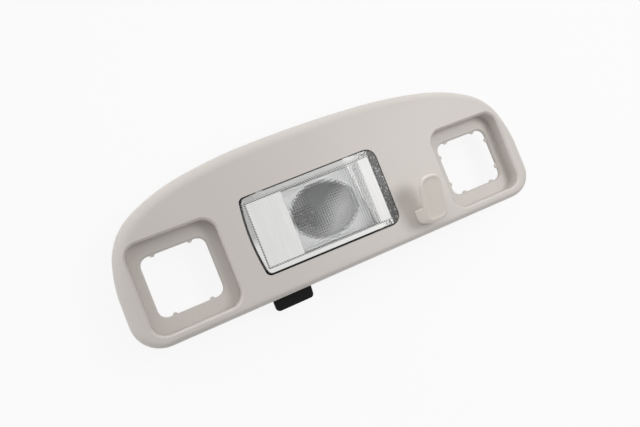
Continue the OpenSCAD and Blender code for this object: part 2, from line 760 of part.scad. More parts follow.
// White rim along the lens's long sides, with its lip over the body's wall
module tray_rim() difference() {
    union() {
        plate(bay(rim_left, rim_right, side_inset + tray_gap), ledge_z - eps, body_top);
        plate(bay(rim_left, rim_right, lip_inset), body_top - lip_t, body_top);
    }
    plate(bay(rim_left - 1, rim_right + 1, end_inset), ledge_z - 1, body_top + 1);
}

module reflector_tray() color([0.94, 0.94, 0.93]) {
    tray_rim();
    difference() {
        union() {
            difference() {
                union() {
                    plate(cavity(-tray_gap), body_floor, ledge_z);
                    plate(deck_outline(0), ledge_under, deck_z);
                }
                plate(cavity(-tray_gap - tray_t), body_floor - 1, ledge_under);
                plate(deck_outline(tray_t), body_floor - 1, deck_under);
            }
            for (p = post_places)
                translate([p[0], p[1], post_z]) cylinder(h = ledge_under - post_z + eps, r = post_r);
            for (x = peg_x, s = [-1, 1])
                translate([x, mid_y + s*peg_y, deck_under - bowl_t - 1.6])
                    cylinder(h = bowl_t + 1.6 + eps, r = peg_r);
        }
        // Window, with room for the bowl's flange on the long walls
        box([deck_left, lens_low, deck_under - bowl_t - 0.05], [deck_right, lens_high, deck_z + 1]);
        for (p = post_places)
            translate([p[0], p[1], post_z - 1]) cylinder(h = tray_screw_l, r = tray_hole);
        // Way out for the contact strips
        box([cavity_left - 1, mid_y - strip_y - strip_w, body_floor - 1],
            [cavity_left + tray_gap + tray_t + 0.5, mid_y + strip_y + strip_w, blade_z + 2]);
    }
}

// Reflector bowl: half of an oval body turned about an axis along the panel

turn_r = (bowl_b*bowl_b + bowl_depth*bowl_depth)/(2*bowl_depth);
turn_z = deck_under - bowl_depth + turn_r;
turn_a = bowl_a/sqrt(1 - pow((turn_z - deck_under)/turn_r, 2));
bulb_hole = bulb_r + 0.7;
hole_end = bowl_x - turn_a*sqrt(max(1 - pow((turn_z - bulb_z + bulb_hole)/turn_r, 2), 0.04));

module oval(grow)
    translate([bowl_x, mid_y, turn_z]) rotate([0, 90, 0]) rotate_extrude($fn = 96)
        polygon([for (a = [-90:7.5:90]) [(turn_r + grow)*cos(a), (turn_a + grow)*sin(a)]]);

module reflector_bowl() color([0.72, 0.74, 0.77]) difference() {
    union() {
        box([deck_left - bowl_lap, win_low + tray_t + 0.2, deck_under - bowl_t],
            [deck_right + bowl_lap - 0.6, win_high - tray_t - 0.2, deck_under]);
        box([deck_left + 0.2, win_low + 0.1, deck_under - bowl_t],
            [deck_right - 0.2, win_high - 0.1, deck_under]);
        intersection() {
            oval(bowl_t);
            box([bowl_x - turn_a - 2, mid_y - bowl_b - 1, body_floor],
                [bowl_x + turn_a + 2, mid_y + bowl_b + 1, deck_under]);
        }
    }
    oval(0);
    translate([bowl_x - 2*bowl_a, mid_y, bulb_z]) rotate([0, 90, 0])
        cylinder(h = hole_end - bowl_x + 2*bowl_a, r = bulb_hole);
    for (x = peg_x, s = [-1, 1])
        translate([x, mid_y + s*peg_y, deck_under - bowl_t - 1]) cylinder(h = bowl_t + 2, r = peg_r + 0.05);
}

// Push-on rings that hold the bowl on the tray's pegs
module bowl_rings() color([0.6, 0.61, 0.63])
    for (x = peg_x, s = [-1, 1])
        translate([x, mid_y + s*peg_y, deck_under - bowl_t - 0.4]) difference() {
            cylinder(h = 0.4, r = ring_r);
            translate([0, 0, -1]) cylinder(h = 3, r = peg_r + 0.03);
            for (a = [0, 60, 120]) rotate([0, 0, a])
                box([-peg_r - 0.5, -0.2, -1], [peg_r + 0.5, 0.2, 1]);
        }

// Bulb, lying along X with its base to the left

shoulder_x = bowl_x - bulb_back;
base_x = shoulder_x - base_l;
filament_x = shoulder_x + bulb_l*0.5;

module along_x(x, y, z) translate([x, y, z]) rotate([0, 90, 0]) children();

// Outline of the glass as a half section, shrunk by t
function glass(t) = concat(
    [[0, t]], [[bulb_r*0.62 - t, t], [bulb_r - t, 3]],
    arc([0, bulb_l - bulb_r], bulb_r - t, 0, 90, 10));

module bulb_glass() color([0.95, 0.96, 0.97, 0.35]) difference() {
    union() {
        along_x(shoulder_x, mid_y, bulb_z) rotate_extrude() polygon(glass(0));
        box([base_x, mid_y - base_w/2, bulb_z - base_t/2],
            [shoulder_x + glass_t, mid_y + base_w/2*0.62, bulb_z + base_t/2]);
        box([base_x, mid_y - base_w/2, bulb_z - base_t/2],
            [shoulder_x, mid_y + base_w/2, bulb_z + base_t/2]);
    }
    along_x(shoulder_x, mid_y, bulb_z) rotate_extrude() polygon(glass(glass_t));
    for (s = [-1, 1])
        along_x(base_x - 1, mid_y + s*lead_y, bulb_z)
            cylinder(h = base_l + 3, r = lead_r + 0.03, $fn = 24);
}

// Lead wires: through the base, round its end and back along its underside
module bulb_leads() color([0.75, 0.72, 0.68])
    for (s = [-1, 1]) translate([base_x - 0.4, mid_y + s*lead_y, bulb_z]) {
        bend = (base_t/2 + lead_r)/2;
        rotate([0, 90, 0]) cylinder(h = filament_x - base_x + 0.4, r = lead_r, $fn = 24);
        translate([0, 0, -2*bend]) rotate([0, 90, 0]) cylinder(h = base_l - 1, r = lead_r, $fn = 24);
        translate([0, 0, -bend]) rotate([90, 0, 0]) rotate([0, 0, 90])
            rotate_extrude(angle = 180, $fn = 48) translate([bend, 0]) circle(r = lead_r, $fn = 24);
    }

// Coiled filament between the tips of the leads
module bulb_filament() color([0.5, 0.5, 0.52])
    translate([filament_x - 0.5, mid_y - lead_y + lead_r, bulb_z]) rotate([-90, 0, 0])
        cylinder(h = 2*(lead_y - lead_r), r = 0.42, $fn = 24);

// Bulb holder and contacts

holder_x0 = shoulder_x - holder_l;
holder_top = bulb_z + bulb_r;
leaf_z = bulb_z - base_t/2 - 2*lead_r - strip_t/2;

module bulb_holder() color([0.86, 0.85, 0.82]) difference() {
    box([holder_x0, mid_y - holder_w/2, body_floor], [shoulder_x, mid_y + holder_w/2, holder_top]);
    box([holder_x0 - 1, mid_y - strip_y - strip_w/2 - 0.3, leaf_z - strip_t/2 - 0.5],
        [shoulder_x + 1, mid_y + strip_y + strip_w/2 + 0.3, bulb_z + base_t/2 + 0.1]);
    // Lead-in for the glass
    along_x(shoulder_x - 1.2, mid_y, bulb_z) cylinder(h = 3, r1 = bulb_r*0.7, r2 = bulb_r + 1);
    // Hollow below the jaw
    box([holder_x0 + 2, mid_y - holder_w/2 + 2, body_floor - 1],
        [shoulder_x - 2, mid_y + holder_w/2 - 2, leaf_z - 2.6]);
}

// One strip: blade in the connector, flat on its stand, then a leaf under the bulb's base
module contact(s) {
    y = mid_y + s*strip_y;
    wall_x = cavity_left - body_t;
    blade_end = wall_x - shroud_l + blade_in;
    bend_x = eyelet_x + 3.2;
    line = [[wall_x + body_t + 1, blade_z], [bend_x, blade_z], [bend_x + 3, leaf_z],
            [shoulder_x - 2.5, leaf_z], [shoulder_x - 1.3, leaf_z - 0.4]];
    difference() {
        union() {
            translate([0, y + strip_w/2, 0]) rotate([90, 0, 0]) linear_extrude(strip_w)
                polygon(ribbon(line, strip_t));
            box([blade_end, y - blade_w/2, blade_z - strip_t/2],
                [wall_x + body_t + 1.5, y + blade_w/2, blade_z + strip_t/2]);
        }
        translate([eyelet_x, y, blade_z - 2]) cylinder(h = 4, r = eyelet_r + 0.05);
    }
}

module feed_contact() color([0.80, 0.66, 0.36]) contact(-1);
module earth_contact() color([0.80, 0.66, 0.36]) contact(1);

module contact_eyelets() color([0.82, 0.70, 0.42])
    for (s = [-1, 1]) translate([eyelet_x, mid_y + s*strip_y, 0]) difference() {
        union() {
            translate([0, 0, body_floor + 1]) cylinder(h = blade_z + strip_t/2 - body_floor - 1, r = eyelet_r);
            translate([0, 0, blade_z + strip_t/2]) cylinder(h = 0.5, r = 2);
        }
        translate([0, 0, blade_z - 2]) cylinder(h = 5, r = 0.6, $fn = 24);
    }

// Screws and clips

// Pan head screw with a cross recess, head down, shank up from z = 0
module screw(r, l, head_r, head_h) {
    difference() {
        union() {
            cylinder(h = l - r, r = r, $fn = 32);
            translate([0, 0, l - r]) cylinder(h = r, r1 = r, r2 = r*0.3, $fn = 32);
            rotate([180, 0, 0]) rotate_extrude() polygon(concat(
                [[0, 0], [head_r, 0]],
                arc([head_r - head_h*0.8, head_h*0.2], head_h*0.8, 0, 90, 5), [[0, head_h]]));
        }
        for (a = [0, 90]) rotate([0, 0, a])
            box([-head_r*0.55, -0.35, -head_h - 1], [head_r*0.55, 0.35, -head_h*0.35]);
    }
}

module lamp_screws() color([0.62, 0.62, 0.64])
    for (p = screw_places) translate([p[0], p[1], ear_z]) screw(screw_hole - 0.05, lamp_screw_l, lamp_head_r, lamp_head_r*0.7);

module tray_screws() color([0.62, 0.62, 0.64])
    for (p = post_places) translate([p[0], p[1], -body_back + 3]) screw(tray_hole - 0.05, tray_screw_l, tray_head_r, tray_head_r*0.67);

module hook_screws() color([0.62, 0.62, 0.64])
    for (p = hook_screw_places) translate([p[0], p[1], under_z - plate_t])
        screw(hook_hole - 0.2, hook_screw_l, hook_head_r, hook_head_r*0.64);

module hook_plate() color([0.55, 0.56, 0.58]) difference() {
    c = [hook_x + hook_w/2, hook_screw_y];
    plate(slot_outline(c, hook_w + 2*plate_out, plate_l, 2), under_z - plate_t, under_z);
    for (p = hook_screw_places)
        translate([p[0], p[1], under_z - plate_t - 1]) cylinder(h = plate_t + 2, r = hook_hole);
}

// Leaf spring that holds the lens shut
module lens_latch() color([0.66, 0.67, 0.69]) {
    back = cavity_right + latch_pocket - 0.2;
    nose = cavity_right + 0.9;
    z0 = skirt_z - 0.4;
    translate([0, mid_y + latch_w/2 - 0.3, 0]) rotate([90, 0, 0]) linear_extrude(latch_w - 0.6)
        polygon(ribbon([[back, z0], [back, z0 + 0.8], [nose, z0 + 2.4],
                        [back, z0 + 4], [back, z0 + 4.8]], 0.4));
}

// Folded clip on each fin: a spread pair of wings and two tabs that grip the fin
module roof_clip() {
    low = -fin_z - clip_t/2 - 0.02;
    foot = fin_t/2 + 0.8;
    rotate([90, 0, 0]) translate([0, 0, -clip_w/2]) linear_extrude(clip_w) {
        polygon(ribbon([[-clip_spread + 1, 2.2], [-clip_spread, 0], [-foot, low + 0.6], [-foot + 0.7, low],
                        [foot - 0.7, low], [foot, low + 0.6], [clip_spread, 0], [clip_spread - 1, 2.2]], clip_t));
        for (s = [-1, 1])
            polygon(ribbon([[s*(foot + 0.55), low + 3], [s*(fin_t/2 + clip_t/2 + 0.02), low + 5.2],
                            [s*(fin_t/2 + clip_t/2 + 0.02), low + 6.4]], clip_t));
    }
}

module roof_clips() color([0.60, 0.61, 0.64])
    for (p = clip_places) translate([p[0], p[1], 0]) roof_clip();

// Coat hook: a post with a dished paddle leaning over it

post_y0 = hook_low + 0.2;
post_y1 = post_y0 + post_d;
function lean(l, h) = [hook_low + l*cos(paddle_lean) - h*sin(paddle_lean),
                       face_z + paddle_h + l*sin(paddle_lean) + h*cos(paddle_lean)];

// Side view of the hook, as y and z
hook_side = rounded([
    [post_y0, face_z, 0],
    [lean(0, 0)[0], lean(0, 0)[1], 3.5],
    [lean(paddle_l, 0)[0], lean(paddle_l, 0)[1], 1.4],
    [lean(paddle_l, -paddle_t)[0], lean(paddle_l, -paddle_t)[1], 1.6],
    [post_y1, lean((post_y1 - hook_low)/cos(paddle_lean), -paddle_t)[1], 4],
    [post_y1, face_z + 1.2, 0],
    [post_y1 + 0.8, face_z, 0]], 6);

// Paddle outline, seen square on, inset by d: length along the paddle and width
function paddle(d) = rounded([
    [paddle_l - d, hook_w/2 - d, paddle_r - d], [d, hook_w/2 - d, paddle_low_r - d*0.6],
    [d, -hook_w/2 + d, paddle_low_r - d*0.6], [paddle_l - d, -hook_w/2 + d, paddle_r - d]], 8);

// Places a shape drawn on the paddle's front, with z out of the front
module on_paddle() translate([hook_x + hook_w/2, hook_low, face_z + paddle_h])
    rotate([paddle_lean, 0, 0]) rotate([0, 0, 90]) children();

module coat_hook() color([0.86, 0.83, 0.76]) difference() {
    intersection() {
        translate([hook_x, 0, 0]) rotate([90, 0, 90]) linear_extrude(hook_w) polygon(hook_side);
        union() {
            on_paddle() plate(paddle(0), -paddle_t - 6, 1);
            plate(rounded([[hook_x + hook_w, post_y1 + 1, 0], [hook_x, post_y1 + 1, 0],
                           [hook_x, post_y0, paddle_low_r],
                           [hook_x + hook_w, post_y0, paddle_low_r]], 8),
                  face_z, face_z + paddle_h - 1);
        }
    }
    on_paddle() plate(paddle(dish_rim), -dish_h, 5);
    for (p = hook_screw_places)
        translate([p[0], p[1], face_z - 1]) cylinder(h = 9, r = hook_hole - 0.15);
}

panel();
lens();
lamp_body();
reflector_tray();
reflector_bowl();
bulb_glass();
bulb_filament();
bulb_leads();
bulb_holder();
feed_contact();
earth_contact();
contact_eyelets();
lamp_screws();
tray_screws();
bowl_rings();
lens_latch();
coat_hook();
hook_plate();
hook_screws();
roof_clips();
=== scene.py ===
"""Looks of an overhead car lamp panel: camera, light, finishes and the pieces that are
finer than the solids. Metres, in the frame of the solids: the panel's face looks along +Z."""
import json
import math

import bpy
from mathutils import Matrix, Vector


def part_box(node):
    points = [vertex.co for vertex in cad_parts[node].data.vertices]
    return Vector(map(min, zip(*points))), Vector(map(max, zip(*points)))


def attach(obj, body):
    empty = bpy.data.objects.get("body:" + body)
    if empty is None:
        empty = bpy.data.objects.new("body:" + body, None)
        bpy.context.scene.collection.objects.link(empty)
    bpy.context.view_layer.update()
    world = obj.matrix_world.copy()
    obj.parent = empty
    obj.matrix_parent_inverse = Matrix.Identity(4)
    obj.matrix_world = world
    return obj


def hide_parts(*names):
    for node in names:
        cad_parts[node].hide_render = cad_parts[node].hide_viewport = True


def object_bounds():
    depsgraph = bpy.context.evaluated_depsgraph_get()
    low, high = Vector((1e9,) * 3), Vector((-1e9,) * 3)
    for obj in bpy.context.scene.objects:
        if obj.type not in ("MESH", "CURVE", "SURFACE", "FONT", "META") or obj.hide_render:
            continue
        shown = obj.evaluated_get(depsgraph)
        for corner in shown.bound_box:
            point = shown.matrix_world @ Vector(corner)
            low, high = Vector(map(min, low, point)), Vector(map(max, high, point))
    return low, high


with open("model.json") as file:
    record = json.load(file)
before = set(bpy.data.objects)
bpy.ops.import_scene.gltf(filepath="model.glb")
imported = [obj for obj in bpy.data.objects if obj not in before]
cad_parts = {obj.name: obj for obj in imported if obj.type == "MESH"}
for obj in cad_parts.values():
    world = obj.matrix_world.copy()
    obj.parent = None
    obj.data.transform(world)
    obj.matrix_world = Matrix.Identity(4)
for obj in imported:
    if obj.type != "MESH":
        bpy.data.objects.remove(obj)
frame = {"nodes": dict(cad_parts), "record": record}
cad_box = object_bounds()
nodes = frame["nodes"]
MM = 0.001


def lowest(node):
    """Lowest corner of a solid in millimetres, to the micrometre."""
    return [round(side / MM, 3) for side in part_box(node)[0]]


def highest(node):
    """Highest corner of a solid in millimetres, to the micrometre."""
    return [round(side / MM, 3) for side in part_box(node)[1]]


# Driving places in millimetres: the bowl, the bulb, the lens with its field of prisms, its
# clear window and its stippled end

_, _, flange_top = highest("reflector_bowl")
_, bulb_low, _ = lowest("bulb_glass")
bulb_tip, bulb_high, _ = highest("bulb_glass")
bulb_middle = (bulb_low + bulb_high) / 2
lens_right, _, lens_top = highest("lens")
lens_left = -60.7
lens_low = -19.0
lens_high = 32.0
prism_pitch = 1.65
prism_columns = 32
prism_rows = 24
prisms_left = -32.5
prisms_low = -13.8
prisms_right = prisms_left + prism_columns * prism_pitch
prisms_high = prisms_low + prism_rows * prism_pitch
window_left = 21.0
end_left = 29.4

# Socket maths


class Wire:
    """A socket with arithmetic: an expression on wires adds its Math nodes."""

    def __init__(self, graph, socket):
        self.graph = graph
        self.socket = socket

    def maths(self, operation, a, b=None):
        values = [a] if b is None else [a, b]
        return self.graph.node("Math", {"operation": operation}, *values)

    def __add__(self, other):
        return self.maths("ADD", self, other)

    def __radd__(self, other):
        return self.maths("ADD", other, self)

    def __sub__(self, other):
        return self.maths("SUBTRACT", self, other)

    def __rsub__(self, other):
        return self.maths("SUBTRACT", other, self)

    def __mul__(self, other):
        return self.maths("MULTIPLY", self, other)

    def __rmul__(self, other):
        return self.maths("MULTIPLY", other, self)

    def __truediv__(self, other):
        return self.maths("DIVIDE", self, other)

    def __pow__(self, other):
        return self.maths("POWER", self, other)

    def least(self, other):
        return self.maths("MINIMUM", self, other)

    def sine(self):
        return self.maths("SINE", self)

    def clamp(self):
        return self.graph.node("Clamp", {}, self)

    def other(self, key):
        """Another output of the same node, by its number or name."""
        return Wire(self.graph, self.socket.node.outputs[key])


class Graph:
    """Node tree of a material or of the world."""

    def __init__(self, tree):
        self.tree = tree
        tree.nodes.clear()

    def feed(self, target, value):
        """Link a wire to a socket, or set the socket's own value."""
        if isinstance(value, Wire):
            self.tree.links.new(value.socket, target)
        else:
            target.default_value = value

    def node(self, kind, settings, *values, out=0, **named):
        """A node with its settings and its sockets, by order (None is left) or by name."""
        item = self.tree.nodes.new("ShaderNode" + kind)
        for key, value in settings.items():
            setattr(item, key, value)
        for target, value in zip(item.inputs, values):
            if value is not None:
                self.feed(target, value)
        for key, value in named.items():
            self.feed(item.inputs[key.replace("_", " ")], value)
        return Wire(self, item.outputs[out]) if item.outputs else None

    def mix_colour(self, factor, a, b):
        """Colour a at factor 0 and colour b at 1. They are the seventh and eighth socket."""
        number_and_vector = (None,) * 5
        return self.node("Mix", {"data_type": "RGBA"}, factor, *number_and_vector, a, b, out=2)

    def times(self, vector, factors):
        return self.node("VectorMath", {"operation": "MULTIPLY"}, vector, factors)

    def along(self, vector, direction):
        """How nearly a unit vector points in a direction: 1 is straight along it."""
        return self.node("VectorMath", {"operation": "DOT_PRODUCT"}, vector, direction, out=1)

    def split(self, vector):
        """The three parts of a vector."""
        parts = self.node("SeparateXYZ", {}, vector)
        return [parts.other(i) for i in range(3)]

    def place(self, scale=1.0):
        """Object coordinates in millimetres, divided by scale."""
        where = self.node("TexCoord", {}, out=3)
        return self.times(where, (1 / (MM * scale),) * 3)

    def noise(self, scale, detail=2.0, rough=0.5, stretch=None):
        """Noise from 0 to 1 with lumps about scale millimetres across. A stretch above 1
        makes them narrower along its axis."""
        where = self.place(scale)
        if stretch is not None:
            where = self.times(where, stretch)
        return self.node("TexNoise", {}, where, None, 1.0, detail, rough)

    def bump(self, height, strength, depth_mm):
        return self.node(
            "Bump", {}, Strength=strength, Distance=depth_mm * MM, Height=height
        )

    def looked_at(self):
        """1 for what the camera sees, also in metal and through glass, and 0 for light."""
        camera_ray = self.node("LightPath", {}, out="Is Camera Ray")
        mirrored = camera_ray.other("Is Glossy Ray")
        through = camera_ray.other("Is Transmission Ray")
        return (camera_ray + mirrored + through).clamp()


def rise(value, low, high):
    """0 at low, 1 at high, and clamped outside."""
    return ((value - low) / (high - low)).clamp()


def rgb(r, g, b):
    """Colour from eight bit display values."""

    def linear(v):
        v /= 255
        return v / 12.92 if v <= 0.04045 else ((v + 0.055) / 1.055) ** 2.4

    return (linear(r), linear(g), linear(b), 1.0)


class Finish(Graph):
    """A material with one principled shader. Its sockets are set by name."""

    def __init__(self, name, **sockets):
        self.material = bpy.data.materials.new(name)
        self.material.use_nodes = True
        super().__init__(self.material.node_tree)
        self.shader = self.tree.nodes.new("ShaderNodeBsdfPrincipled")
        self.output = self.tree.nodes.new("ShaderNodeOutputMaterial")
        self.tree.links.new(self.shader.outputs[0], self.output.inputs[0])
        self.set(**sockets)

    def set(self, **sockets):
        for key, value in sockets.items():
            self.feed(self.shader.inputs[key.replace("_", " ")], value)

    def drift(self, colour, spread, size):
        """A base colour that drifts slightly over the surface, in patches of a size."""
        dark = tuple(c * (1 - spread) for c in colour[:3]) + (1.0,)
        light = tuple(min(c * (1 + spread), 1) for c in colour[:3]) + (1.0,)
        self.set(Base_Color=self.mix_colour(self.noise(size), dark, light))


# Finishes


def panel_plastic():
    """Satin grey plastic with a fine moulded grain."""
    f = Finish("satin_grey_plastic", IOR=1.5)
    f.drift(rgb(206, 200, 195), 0.02, 45)
    grain = f.noise(0.28, 3.0, 0.6) + f.noise(1.6) * 0.35
    f.set(Roughness=0.38 + f.noise(0.9) * 0.12, Normal=f.bump(grain, 0.22, 0.03))
    return f.material


def hook_plastic():
    """Ivory plastic, smoother and warmer than the panel's."""
    f = Finish("ivory_plastic", IOR=1.5)
    f.drift(rgb(217, 211, 203), 0.02, 18)
    f.set(Roughness=0.34 + f.noise(1.2) * 0.1, Normal=f.bump(f.noise(0.5, 3.0), 0.12, 0.03))
    return f.material


def black_plastic():
    """Black plastic with hardly any shine."""
    f = Finish("black_plastic", IOR=1.5, Specular_IOR_Level=0.15)
    f.drift(rgb(7, 7, 7), 0.12, 9)
    f.set(Roughness=0.42 + f.noise(1.5) * 0.14, Normal=f.bump(f.noise(0.35, 3.0), 0.25, 0.03))
    return f.material


def white_plastic():
    """White plastic with a gloss, as the tray behind the lens has."""
    f = Finish("white_gloss_plastic", IOR=1.5)
    f.drift(rgb(240, 240, 239), 0.012, 20)
    f.set(Roughness=0.24 + f.noise(3.0) * 0.08, Normal=f.bump(f.noise(1.1), 0.08, 0.04))
    return f.material


def bright_reflector():
    """Bright flange, and a paler coat inside, darkened by painted shade above the bulb and
    past its tip.
    """
    f = Finish("bright_reflector")
    x, y, z = f.split(f.place())
    inside = rise(z, flange_top - 0.4, flange_top - 2.1)

    # Painted shade over the upper left half, thinner near the straight edge and at the left
    # end
    painted_shade = rise(y - x, 0.0, 12.0)
    painted_shade = painted_shade * (1.0 - rise(y, 8.0, -12.0) * 0.5)
    painted_shade = painted_shade * (1.0 - rise(x, -17.0, -25.0) * 0.5)

    # A round spot of painted shade past the bulb's tip
    from_spot_x = x - (bulb_tip + 2.5)
    from_spot_y = y - (bulb_middle - 4.0)
    distance_squared = from_spot_x * from_spot_x + from_spot_y * from_spot_y
    painted_shade = painted_shade + rise(distance_squared, 110.0, 25.0) * 0.6

    painted_shade = painted_shade.clamp() * inside
    painted_shade = painted_shade * (0.9 + f.noise(6.0) * 0.2)
    coat = f.mix_colour(inside, rgb(204, 204, 204), rgb(252, 252, 252))
    # Where the painted shade lies, the coat turns dark grey
    f.set(Base_Color=f.mix_colour(painted_shade, coat, rgb(110, 111, 115)))
    f.set(Metallic=1.0 - inside * 0.85)
    f.set(Roughness=0.36 + f.noise(4.0) * 0.06, Normal=f.bump(f.noise(4.0), 0.05, 0.05))
    return f.material


def clear_plastic():
    """Clear plastic: a milky outer face beside the prisms, painted lighter at its low border,
    a dark stippled right end, painted shade in the grooves of the prisms beside the bowl, and
    a dark rim against the black body along the low edge, painted as the shadow of the gap."""
    f = Finish("clear_plastic", IOR=1.49, Transmission_Weight=1.0, Roughness=0.02)
    x, y, z = f.split(f.place())
    cycle = math.tau / prism_pitch

    # How far a point lies inside the edges. The long two close in towards the left end
    leftward = (lens_right - x) / (lens_right - lens_left)
    high_edge = lens_high - leftward * 1.6
    low_edge = lens_low + leftward * 0.6
    left_edge = lens_left + 0.5
    from_low = y - low_edge
    inset = (high_edge - y).least(from_low).least(x - left_edge)

    # Areas of the lens, each 1 inside and 0 outside. A dotted line parts inner and outer
    inner = rise(inset, 4.25, 4.4)
    outer = rise(inset, 3.4, 3.25)
    stippled_end = rise(x, end_left, end_left + 0.5)
    not_end = 1.0 - stippled_end
    border = outer * (1.0 - rise(x, end_left - 0.9, end_left + 0.5))
    line = (1.0 - inner) * (1.0 - outer) * not_end
    left_field = rise(x, prisms_left + 0.1, prisms_left - 0.5)
    window = rise(x, window_left, window_left + 0.6)
    window = window * (1.0 - rise(x, end_left - 0.6, end_left))
    corner = (1.0 - inner) * rise(x, window_left, window_left + 4.0) * not_end
    # Painted shadow of the gap along the low edge, against the black body
    painted_gap_shadow = rise(from_low, 0.75, 0.55)
    outer_face = rise(z, lens_top - 0.8, lens_top - 0.6)

    # Patterns: dots of the line, drawn streaks, specks of the corners, flecks of the end
    dots = rise(((x + y) * cycle).sine(), -0.1, 0.2)
    streaks = f.noise(1.4, stretch=(1, 0.06, 1))
    specks = rise(f.noise(0.7, 3.0, 0.6), 0.47, 0.53)
    flecks = rise(f.noise(1.2), 0.6, 0.66)

    # The milky face, its border painted lighter towards the low edge as painted light, and the
    # dark ink of its dots and of the end between the flecks
    milky_border_and_painted_light = border * (0.44 + rise(y, 6.0, -4.0) * 0.7) * (1.0 - corner * specks)
    milk = (left_field * 0.86 + window * 0.8) * inner + milky_border_and_painted_light + line * 0.6 + 0.09
    milk = milk * not_end + stippled_end * (0.2 + flecks * 0.3)
    milk = milk + corner * 0.35 * (1.0 - specks)
    milk = milk * (0.92 + streaks * 0.16) * outer_face * (1.0 - painted_gap_shadow)
    ink = (line * dots + stippled_end * (1.0 - flecks) * 1.2).clamp()
    pale = f.mix_colour(ink, rgb(239, 239, 238), rgb(64, 65, 64))
    milky_face = f.node("BsdfPrincipled", {}, Base_Color=pale, Roughness=0.3, IOR=1.49)

    # The clear body, with painted shade in the grooves of the prisms beside the bowl, darker
    # where it is rough, and darkest along the low edge as painted shadow of the gap
    painted_root_shade = rise(((x - prisms_left + prism_pitch / 4) * cycle).sine(), 0.2, 0.8)
    beside_bowl = rise(x, 7.0, 17.0) * (1.0 - rise(x, window_left - 0.1, window_left + 0.2))
    painted_root_shade = painted_root_shade * beside_bowl * inner
    tint = (painted_root_shade * 0.5 + stippled_end + corner * specks * 0.75 + painted_gap_shadow).clamp()
    stipple = f.noise(0.7, 3.0) * (stippled_end + corner)
    f.set(Base_Color=f.mix_colour(tint, rgb(251, 252, 252), rgb(30, 29, 28)))
    f.set(Normal=f.bump(stipple, 0.6, 0.3))

    clear_body = Wire(f, f.shader.outputs[0])
    both = f.node("MixShader", {}, milk, clear_body, milky_face)
    f.feed(f.output.inputs[0], both)
    return f.material


def bulb_glass():
    """Glass of a bulb, tinted grey."""
    f = Finish("bulb_glass", Base_Color=(0.3, 0.3, 0.31, 1), IOR=1.5)
    f.set(Transmission_Weight=1.0, Roughness=0.01, Normal=f.bump(f.noise(3.0), 0.1, 0.05))
    return f.material


def metal(name, colour, rough):
    """Drawn metal with lines along X."""
    f = Finish(name, Metallic=1.0)
    f.drift(colour, 0.06, 6)
    lines = f.noise(1.5, stretch=(1, 6, 6))
    f.set(Roughness=rough + lines * 0.15, Normal=f.bump(lines, 0.15, 0.02))
    return f.material


def holder_plastic():
    """Cream plastic of the bulb's holder."""
    f = Finish("cream_plastic", IOR=1.5)
    f.drift(rgb(214, 209, 192), 0.04, 6)
    f.set(Roughness=0.45 + f.noise(1.0) * 0.12, Normal=f.bump(f.noise(0.4, 3.0), 0.2, 0.03))
    return f.material


finishes = {
    "panel": panel_plastic(),
    "coat_hook": hook_plastic(),
    "lamp_body": black_plastic(),
    "reflector_tray": white_plastic(),
    "reflector_bowl": bright_reflector(),
    "lens": clear_plastic(),
    "bulb_glass": bulb_glass(),
    "bulb_filament": metal("tungsten_wire", rgb(120, 120, 125), 0.4),
    "bulb_leads": metal("nickel_wire", rgb(196, 188, 176), 0.3),
    "bulb_holder": holder_plastic(),
    "feed_contact": metal("stamped_brass", rgb(214, 178, 105), 0.28),
    "contact_eyelets": metal("turned_brass", rgb(222, 190, 120), 0.24),
    "lamp_screws": metal("zinc_plate", rgb(190, 192, 196), 0.3),
    "lens_latch": metal("spring_steel", rgb(150, 152, 158), 0.28),
    "hook_plate": metal("plated_sheet", rgb(175, 177, 180), 0.35),
}
for node, same_as in (
    ("earth_contact", "feed_contact"),
    ("tray_screws", "lamp_screws"),
    ("hook_screws", "lamp_screws"),
    ("roof_clips", "lens_latch"),
    ("bowl_rings", "lens_latch"),
):
    finishes[node] = finishes[same_as]

for name, item in nodes.items():
    item.data.materials.clear()
    item.data.materials.append(finishes[name])

# Pieces: each solid again as one smooth skin, with what is finer than the solid

bodies = {
    node: body
    for body, members in frame["record"]["behaviour"]["bodies"].items()
    for node in members
}


def only(item):
    """Select one piece and nothing else."""
    bpy.ops.object.select_all(action="DESELECT")
    item.select_set(True)
    bpy.context.view_layer.objects.active = item


def edit(item):
    """Open one piece in edit mode, with all of its faces selected."""
    only(item)
    bpy.ops.object.mode_set(mode="EDIT")
    bpy.ops.mesh.select_mode(type="FACE")
    bpy.ops.mesh.select_all(action="SELECT")


def done():
    """Close edit mode."""
    bpy.ops.object.mode_set(mode="OBJECT")


def apply(item, kind, **settings):
    """Add one modifier with its settings and apply it."""
    only(item)
    step = item.modifiers.new(kind.lower(), kind)
    for key, value in settings.items():
        setattr(step, key, value)
    bpy.ops.object.modifier_apply(modifier=step.name)


def skin(node, name):
    """Merged copy of a solid's mesh."""
    item = bpy.data.objects.new(name, nodes[node].data.copy())
    bpy.context.collection.objects.link(item)
    edit(item)
    bpy.ops.mesh.remove_doubles(threshold=0.002 * MM)
    bpy.ops.mesh.customdata_custom_splitnormals_clear()
    done()
    return item


def smooth(item, crease):
    """Smooth shading, creased where faces meet at more than the given angle."""
    only(item)
    bpy.ops.object.shade_smooth_by_angle(angle=math.radians(crease))
    apply(item, "WEIGHTED_NORMAL", keep_sharp=True)


def place_for(item, node):
    """The piece moves with the solid's body and stands for it."""
    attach(item, bodies[node])
    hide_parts(node)


def moulding(node, name, crease, edge):
    """One smooth skin of a solid, whose sharp edges are rounded over edge millimetres."""
    item = skin(node, name)
    if edge:
        edit(item)
        bpy.ops.mesh.dissolve_limited(angle_limit=math.radians(0.4))
        done()
        apply(
            item, "BEVEL", width=edge * MM, segments=2, limit_method="ANGLE",
            angle_limit=math.radians(40), harden_normals=False,
        )
    smooth(item, crease)
    place_for(item, node)


